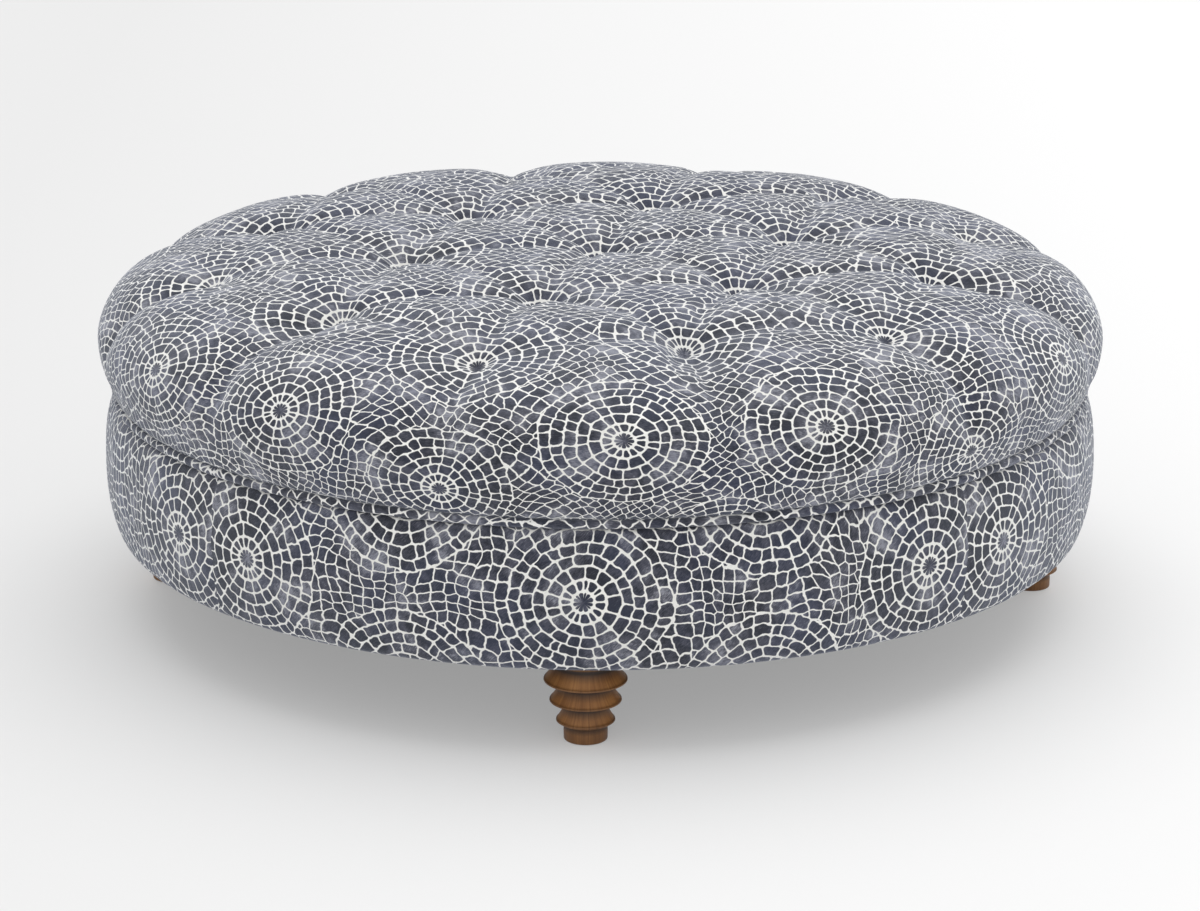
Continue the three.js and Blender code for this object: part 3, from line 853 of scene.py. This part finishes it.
# Where each point of the disc lies on the print: in a tuft's cell, by the length of cloth from the tuft
def clothCoords(flat):
    centre, heading, distance, edge = tuftCells(flat)
    samples = 40
    heights = []
    for share in np.linspace(0, 1, samples + 1):
        heights.append(puffHeight(centre + heading * (edge * share)[:, None]))
    steps = np.hypot(np.diff(np.array(heights), axis=0), edge[None, :] / samples)
    length = np.concatenate([np.zeros((1, len(flat))), np.cumsum(steps, axis=0)])
    length = length / steps.sum(0)[None, :]
    share = np.clip(distance / edge, 0, 1) * samples
    low = np.clip(np.floor(share).astype(int), 0, samples - 1)
    columns = np.arange(len(flat))
    part = share - low
    laid = length[low, columns] * (1 - part) + length[low + 1, columns] * part
    eased = centre + heading * (edge * laid)[:, None]
    laidOut = np.where((distance < edge)[:, None], eased, flat)
    arc = np.maximum(np.hypot(*laidOut.T), 1e-9)
    outer = smoothStep(*cushion["slipStartShares"], np.hypot(*centre.T) / spacing)
    slip = cushion["stitchSlip"] * outer * np.exp(-(distance / cushion["slipReach"]) ** 2)
    laidOut = laidOut * (1 + slip / arc)[:, None]
    past = np.maximum(arc - cushion["stretchStart"], 0) / cushion["stretchReach"]
    stretched = arc + cushion["stretch"] * past ** cushion["stretchPower"]
    return laidOut * (stretched / arc)[:, None]


def relaxCloth(points, faces, hold):
    obj = meshObject("clothTrial", points, faces, finishes["fabric"])
    group = obj.vertex_groups.new(name="hold")
    group.add([int(k) for k in np.nonzero(hold)[0]], 1.0, "REPLACE")
    cloth = obj.modifiers.new("cloth", "CLOTH")
    for key, value in relaxing["feel"].items():
        setattr(cloth.settings, key, value)
    cloth.settings.vertex_group_mass = "hold"
    cloth.settings.effector_weights.gravity = 0
    cloth.collision_settings.use_collision = False
    cloth.point_cache.frame_start = 1
    cloth.point_cache.frame_end = relaxing["frames"]
    for number in range(1, relaxing["frames"] + 1):
        scene.frame_set(number)
    evaluated = obj.evaluated_get(bpy.context.evaluated_depsgraph_get())
    moved = np.zeros(len(points) * 3)
    evaluated.data.vertices.foreach_get("co", moved)
    moved = moved.reshape(-1, 3)
    bpy.data.objects.remove(obj)
    scene.frame_set(1)
    shift = moved - points
    size = np.maximum(np.linalg.norm(shift, axis=1), 1e-9)
    cap = relaxing["moveCap"]
    print("cloth moved", round(float(size.max()) * 1000, 1), "mm at most")
    return points + shift / size[:, None] * (cap * np.tanh(size / cap))[:, None]


def makeCushion():
    rings = discRings()
    flat = gather(np.concatenate(rings))
    faces = discFaces(rings)
    points = overCushion(flat, puffHeight(flat))
    atTuft = fromTufts(flat).min(1) < relaxing["tuftHold"]
    atRim = np.hypot(*flat.T) > clothReach - relaxing["rimHold"]
    points = relaxCloth(points, faces, atTuft | atRim)
    obj = meshObject("cushion", points, faces, finishes["fabric"])
    setUv(obj, "cloth", clothCoords(flat)[loopVertices(obj)])
    soften = obj.modifiers.new("soften", "SUBSURF")
    soften.levels = 1
    soften.render_levels = 1
    bakeModifiers(obj)
    closeUnder(obj)
    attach(obj, "root")
    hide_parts("top_cover", "top_foam")


# A turned-down edge beside the deck board, then flat over the top of the board
def closeUnder(obj):
    work = bmesh.new()
    work.from_mesh(obj.data)
    layer = work.loops.layers.uv["cloth"]
    rim = [vertex for vertex in work.verts if vertex.is_boundary]
    rim.sort(key=lambda vertex: math.atan2(vertex.co.y, vertex.co.x))
    added = []
    height = deckTop + seatGap
    edgeHeight = bandHigh.z + seatGap
    edgeRadius = waistRadius - cushion["edgeInset"]
    path = [(waistRadius, edgeHeight), (edgeRadius, edgeHeight), (edgeRadius, height)]
    path += [(waistRadius * share, height) for share in cushion["underShares"]]
    for radius, level in path:
        row = []
        for vertex in rim:
            angle = math.atan2(vertex.co.y, vertex.co.x)
            row.append(work.verts.new((radius * math.cos(angle), radius * math.sin(angle), level)))
        for k in range(len(rim)):
            added.append(work.faces.new((rim[k - 1], rim[k], row[k], row[k - 1])))
        rim = row
    added.append(work.faces.new(rim))
    for face in added:
        face.smooth = False
        face.material_index = 0
        for loop in face.loops:
            loop[layer].uv = loop.vert.co.xy
    bmesh.ops.recalc_face_normals(work, faces=work.faces)
    work.to_mesh(obj.data)
    work.free()


def bakeModifiers(obj):
    evaluated = obj.evaluated_get(bpy.context.evaluated_depsgraph_get())
    mesh = bpy.data.meshes.new_from_object(evaluated)
    obj.modifiers.clear()
    old = obj.data
    obj.data = mesh
    name = old.name
    bpy.data.meshes.remove(old)
    mesh.name = name


makeCushion()
print("cushion ready")


# The drum: a padded band in four panels, closed under the foot and over the ledge

drum = {
    "radius": 0.5824,
    "footRadius": 0.5665,
    "widestRise": 0.0753,
    "hemDrop": 0.0018,
    "ledgeRadius": 0.562,
    "topPower": 2.3,
    "footPower": 1.62,
    "segments": 576,
    "rowStep": 0.0045,
    "panels": 4,
    "seamDepth": 0.0016,
    "seamWidth": 0.0045,
    "pucker": 0.0010,
    "puckerReach": 0.03,
    "puckerTurn": 160,  # radians a metre up the drum
    "waves": [(0.0007, 9, 1.3), (0.0005, 23, 0.4)],  # height, count round the drum, and start
    "waveTurn": 40,
    "roundelHeight": 0.178,
    "hem": 0.025,
}
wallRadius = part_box("band_wall")[1].x + seatGap
hemInner = drum["footRadius"] - drum["hem"]
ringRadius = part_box("waist_ring")[1].x


def drumProfile():
    widest = bandLow.z + drum["widestRise"]
    turn = np.linspace(math.pi / 2, 0, 22)
    foot = drum["footRadius"]
    power = 2 / drum["footPower"]
    footR = foot + (drum["radius"] - foot) * np.cos(turn) ** power
    footZ = widest - (drum["widestRise"] + drum["hemDrop"]) * np.sin(turn) ** power
    turn = np.linspace(0, math.pi / 2, 30)[1:]
    ledge = drum["ledgeRadius"]
    power = 2 / drum["topPower"]
    topR = ledge + (drum["radius"] - ledge) * np.cos(turn) ** power
    topZ = widest + (bandHigh.z - widest) * np.sin(turn) ** power
    r = np.concatenate([footR, topR, [ringRadius]])
    return r, np.concatenate([footZ, topZ, [bandHigh.z]])


def makeDrum():
    r, z = drumProfile()
    r, z, arc = evenly(r, z, int(round(outlineLength(r, z)[-1] / drum["rowStep"])) + 1)
    rising = len(z) * 2 // 3  # the rows below the turn on to the ledge
    middle = np.interp(drum["roundelHeight"], z[:rising], arc[:rising])
    count = drum["segments"]
    angle = evenTurns(count)
    panel = math.tau / drum["panels"]
    offSeam = np.abs(angle - panel * np.round(angle / panel)) * drum["radius"]
    groove = np.exp(-(offSeam / drum["seamWidth"]) ** 2) * drum["seamDepth"]
    pucker = drum["pucker"] * np.exp(-offSeam / drum["puckerReach"])
    wave = sum(size * np.sin(angle * times + start) for size, times, start in drum["waves"])
    rows = []
    coords = []

    def addRow(radius, height, coord):
        rows.append(np.column_stack([polar(radius, angle), np.full(count, height)]))
        coords.append(coord)

    loft = np.clip(np.sin(np.clip(arc / arc[-1], 0, 1) * math.pi), 0, 1) ** 0.5
    for radius, height, along, share in zip(r, z, arc, loft):
        ripple = wave * math.sin(along * drum["waveTurn"])
        ripple = ripple + pucker * math.sin(along * drum["puckerTurn"]) * share
        addRow(radius + (ripple - groove) * share, height, along - middle)
    # The cloth's inner side, from the ledge down the wall to the hem
    inner = [
        (waistRadius, bandHigh.z),
        (waistRadius, bandHigh.z - 0.0012),
        (ringRadius + 0.0006, bandHigh.z - 0.0016),
        (wallRadius, bandHigh.z - 0.006),
        (wallRadius, bandLow.z + 0.0016),
        (hemInner, bandLow.z + 0.0013),
        (hemInner, bandLow.z),
        (hemInner + 0.012, bandLow.z),
    ]
    for radius, height in inner:
        addRow(radius, height, coords[-1] + 0.01)
    faces = []
    total = len(rows)
    for row in range(total):
        faces += quadRow(row * count, (row + 1) % total * count, count)
    obj = meshObject("drumPad", np.concatenate(rows), faces, finishes["fabric"])
    # Each panel's cloth is laid out flat about its own middle
    index = loopVertices(obj)
    loopRow = index // count
    faceRow = np.repeat(np.arange(total), count)
    faceTurn = np.tile(angle + math.pi / count, total)
    panelMiddle = np.repeat((np.floor(faceTurn / panel) + 0.5) * panel, 4)
    turned = (angle[index % count] - panelMiddle + math.pi) % (math.tau) - math.pi
    last = np.repeat(faceRow == total - 1, 4)
    up = np.where(last & (loopRow == 0), coords[-1] + 0.02, np.array(coords)[loopRow])
    setUv(obj, "cloth", np.column_stack([up, turned * drum["radius"]]))
    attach(obj, "root")
    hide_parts("band_cover", "band_foam")


makeDrum()
print("drum ready")


# The welt, swept round the waist by Geometry Nodes

welt = {"segments": 480, "sides": 18, "cord": 0.0050, "outset": 0.0055, "rise": 0.0003}


# A tree with inputs for a circle's radius and height and one more, and the circle laid out in it
def circleTree(name, segments, extra, kind):
    group = bpy.data.node_groups.new(name, "GeometryNodeTree")
    group.interface.new_socket(name="Geometry", in_out="OUTPUT", socket_type="NodeSocketGeometry")
    inputs = []
    for label, value in (("Circle radius", "Float"), ("Height", "Float"), (extra, kind)):
        socket = "NodeSocket" + value
        item = group.interface.new_socket(name=label, in_out="INPUT", socket_type=socket)
        inputs.append(item.identifier)
    start = wire(group.nodes.new("NodeGroupInput").outputs["Circle radius"])
    path = addNode("GeometryNodeCurvePrimitiveCircle", {"Resolution": segments, "Radius": start})
    return group, inputs, start, path


# Lifts what the tree has made to its height, makes it real and gives it its material
def endTree(start, made, material):
    place = addNode("ShaderNodeCombineXYZ", {"Z": start.beside("Height")})
    raised = addNode("GeometryNodeTransform", {"Geometry": made, "Translation": place})
    real = addNode("GeometryNodeRealizeInstances", {0: raised})
    finished = addNode("GeometryNodeSetMaterial", {"Geometry": real, "Material": material})
    feed(start.socket.id_data.nodes.new("NodeGroupOutput"), {0: finished})


def runNodes(name, group, inputs, values, material):
    holder = meshObject(name, [], [], material)
    modifier = holder.modifiers.new("build", "NODES")
    modifier.node_group = group
    for identifier, value in zip(inputs, values):
        modifier[identifier] = value
    bakeModifiers(holder)
    return holder


def weltTree(material):
    group, inputs, start, path = circleTree("weltSweep", welt["segments"], "Cord radius", "Float")
    feeds = {"Resolution": welt["sides"], "Radius": start.beside("Cord radius")}
    section = addNode("GeometryNodeCurvePrimitiveCircle", feeds)
    sweep = addNode("GeometryNodeCurveToMesh", {"Curve": path, "Profile Curve": section})
    endTree(start, sweep, material)
    return group, inputs


# The angle, with whole turns added until it lies by another
def nearTurn(angle, other):
    return angle + math.tau * round((other - angle) / math.tau)


def makeWelt():
    low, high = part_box("waist_welt")
    cord = welt["cord"]
    circle = (high.x - (high.z - low.z) / 2) + welt["outset"]
    middle = (high.z + low.z) / 2 + welt["rise"]
    group, inputs = weltTree(finishes["fabric"])
    obj = runNodes("weltCord", group, inputs, (circle, middle, cord), finishes["fabric"])
    mesh = obj.data
    layer = mesh.uv_layers.new(name="cloth")

    def turns(point):
        offCircle = math.hypot(point.x, point.y) - circle
        return math.atan2(point.y, point.x), math.atan2(point.z - middle, offCircle)

    for face in mesh.polygons:
        face.use_smooth = True
        faceTurn, faceBend = turns(face.center)
        for loop in face.loop_indices:
            turn, bend = turns(mesh.vertices[mesh.loops[loop].vertex_index].co)
            # The cloth is cut on the bias, so it lies at 45 degrees to the cord
            along = nearTurn(turn, faceTurn) * circle * math.sqrt(0.5)
            across = nearTurn(bend, faceBend) * cord * math.sqrt(0.5)
            layer.data[loop].uv = (along - across + 0.07, along + across + 0.03)
    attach(obj, "root")
    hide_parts("waist_welt")


makeWelt()
print("welt ready")


# The turned legs

legs = {
    "segments": 96,
    "footHeight": 0.0155,
    "footRadius": 0.0236,
    "footTop": 0.0238,
    "footRounding": 0.0015,
    "footDrop": 0.0019,  # the foot's rim stands below the glide's seat
    "glideRoom": 0.0195,
    "cones": [  # rim radius and height, and radius and height of the neck above it
        (0.0318, 0.0205, 0.0235, 0.0380),
        (0.0388, 0.0433, 0.0285, 0.0610),
        (0.0450, 0.0666, 0.0340, 0.0845),
    ],
    "undercutPower": 1.5,
    "rimRounding": 0.0009,
    "coneSag": 0.0014,
}


# Outline from the sole up, as radius, height and how much painted shade darkens the stain there, from 0
# to 1
def legProfile(low, height):
    sole = low - legs["footDrop"]
    room = legs["glideRoom"]
    rounding = legs["footRounding"]
    outline = [(0.0, low, 0.0), (0.012, low, 0.0), (room, low, 0.5), (room, sole + seatGap, 0.3)]
    for turn in np.linspace(0, math.pi / 2, 5):
        radius = legs["footRadius"] - rounding + rounding * math.sin(turn)
        outline.append((radius, sole + rounding - rounding * math.cos(turn), 0.5))
    neckRadius = legs["footTop"]
    neckHeight = legs["footHeight"]
    outline.append((neckRadius, low + neckHeight - 0.007, 0.4))
    outline.append((neckRadius - 0.0003, low + neckHeight - 0.003, 0.9))
    half = legs["rimRounding"]
    for rimRadius, rimHeight, nextRadius, nextHeight in legs["cones"]:
        # Painted shade: full in the neck under each cone, fading up the cone towards the rim
        outline.append((neckRadius - 0.0005, low + neckHeight - 0.0004, 1.0))
        for share in np.linspace(0.1, 1, 8):
            radius = neckRadius + (rimRadius - neckRadius) * share
            rise = (rimHeight - half - neckHeight) * share ** legs["undercutPower"]
            outline.append((radius, low + neckHeight + rise, 1 - 0.55 * share))
        shallow = half * 0.9
        for turn in np.linspace(0.2, 1, 5) * math.pi / 2:
            radius = rimRadius - shallow + shallow * math.cos(turn)
            outline.append((radius, low + rimHeight - half + 2 * half * math.sin(turn), 0.5))
        for share in np.linspace(0.12, 1, 9):
            sag = legs["coneSag"] * math.sin(share * math.pi)
            radius = rimRadius - shallow + (nextRadius - rimRadius + shallow) * share - sag
            rise = (nextHeight - rimHeight - half) * share
            # Painted shade just above the rim and towards the next neck
            dark = max(0.0, (share - 0.32) / 0.5, 0.35 - share * 3)
            outline.append((radius, low + rimHeight + half + rise, dark))
        neckRadius = nextRadius
        neckHeight = nextHeight
    outline.append((neckRadius, low + neckHeight + 0.002, 0.6))
    outline.append((neckRadius, low + height, 0.4))
    outline.append((0.0, low + height, 0.0))
    return outline


# Turns an outline, which starts and ends on the axis, about the middle of a CAD node's box
def turnedPiece(node, name, outline, segments, slot):
    middleX, middleY = middleOf(node)
    points = []
    faces = []
    coords = []
    shade = []
    starts = []
    run = 0.0
    before = outline[0]
    for radius, height, dark in outline:
        run += math.hypot(radius - before[0], height - before[1])
        before = (radius, height)
        starts.append(len(points))
        for turn in evenTurns(segments if radius > 0 else 1):
            points.append((middleX + radius * math.cos(turn), middleY + radius * math.sin(turn), height))
            shade.append(dark)
            coords.append(run)
    for below, above, first, second in zip(outline[:-1], outline[1:], starts[:-1], starts[1:]):
        if below[0] > 0 and above[0] > 0:
            faces += quadRow(first, second, segments)
            continue
        for k in range(segments):
            after = (k + 1) % segments
            if below[0] > 0:
                faces.append((first + k, first + after, second))
            else:
                faces.append((first, second + after, second + k))
    obj = meshObject(name, points, faces, finishes[slot])
    # The painted shade of the outline, kept as the groove attribute
    attribute = obj.data.attributes.new("groove", "FLOAT", "POINT")
    attribute.data.foreach_set("value", shade)
    layer = obj.data.uv_layers.new(name="turning")
    for face in obj.data.polygons:
        faceTurn = math.atan2(face.center.y - middleY, face.center.x - middleX)
        for loop in face.loop_indices:
            vertex = obj.data.loops[loop].vertex_index
            co = obj.data.vertices[vertex].co
            turn = nearTurn(math.atan2(co.y - middleY, co.x - middleX), faceTurn)
            layer.data[loop].uv = (turn * 0.3 + middleX * 7, coords[vertex])
    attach(obj, "root")
    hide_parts(node)


def makeLegs():
    for node in nodesCalled("leg_back") + nodesCalled("leg_front"):
        low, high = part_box(node)
        outline = legProfile(low.z, high.z - low.z)
        turnedPiece(node, node.replace("leg_", "turnedLeg_"), outline, legs["segments"], "walnut")


makeLegs()
print("legs ready")


# Glides under the legs

glides = {"segments": 64, "rounding": 0.0008, "thickness": 0.0025, "nailRadius": 0.0015}


def makeGlides():
    rounding = glides["rounding"]
    thick = glides["thickness"]
    nail = glides["nailRadius"]
    for node in nodesCalled("glide_"):
        low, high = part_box(node)
        radius = (high.x - low.x) / 2
        flat = radius - rounding
        outline = [(0.0, 0.0, 0.0), (flat, 0.0, 0.0)]
        for turn in np.linspace(0.25, 1, 4) * math.pi / 2:
            outline.append((flat + rounding * math.sin(turn), rounding - rounding * math.cos(turn), 0.0))
        outline += [(radius, thick - rounding, 0.0), (flat, thick, 0.0)]
        outline += [(nail, thick, 0.0), (nail, high.z, 0.0), (0.0, high.z, 0.0)]
        turnedPiece(node, node.replace("glide_", "nailGlide_"), outline, glides["segments"], "nylon")


makeGlides()
print("glides ready")


# Staples that hold the underside cover, set round its edge by Geometry Nodes

staples = {
    "count": 132,
    "segments": 256,
    "inset": 0.006,
    "crown": 0.010,
    "wire": 0.0011,
    "sunk": 0.2,  # share of the wire
    "tilt": 0.35,
    "seed": 5,
}


def stapleTree(material):
    group, inputs, start, path = circleTree("stapleRow", staples["segments"], "Count", "Int")
    feeds = {"Curve": path, "Count": start.beside("Count")}
    spread = addNode("GeometryNodeCurveToPoints", feeds, "Points", mode="COUNT")
    size = (staples["wire"], staples["wire"] * 0.6, staples["crown"])
    bar = addNode("GeometryNodeMeshCube", {"Size": size}, "Mesh", group)
    most = staples["tilt"]
    feeds = {"Min": (0, -most, 0), "Max": (0, most, 0), "Seed": staples["seed"]}
    tilt = addNode("FunctionNodeRandomValue", feeds, "Value", group, data_type="FLOAT_VECTOR")
    feeds = {"Rotation": spread.beside("Rotation"), "Rotate By": tilt}
    lay = addNode("FunctionNodeRotateRotation", feeds)
    feeds = {"Points": spread, "Instance": bar, "Rotation": lay}
    endTree(start, addNode("GeometryNodeInstanceOnPoints", feeds), material)
    return group, inputs


def makeStaples():
    low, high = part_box("dust_cover")
    group, inputs = stapleTree(finishes["steel"])
    values = (high.x - staples["inset"], low.z - staples["wire"] * staples["sunk"], staples["count"])
    obj = runNodes("coverStaples", group, inputs, values, finishes["steel"])
    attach(obj, "root")


makeStaples()
print("staples ready")
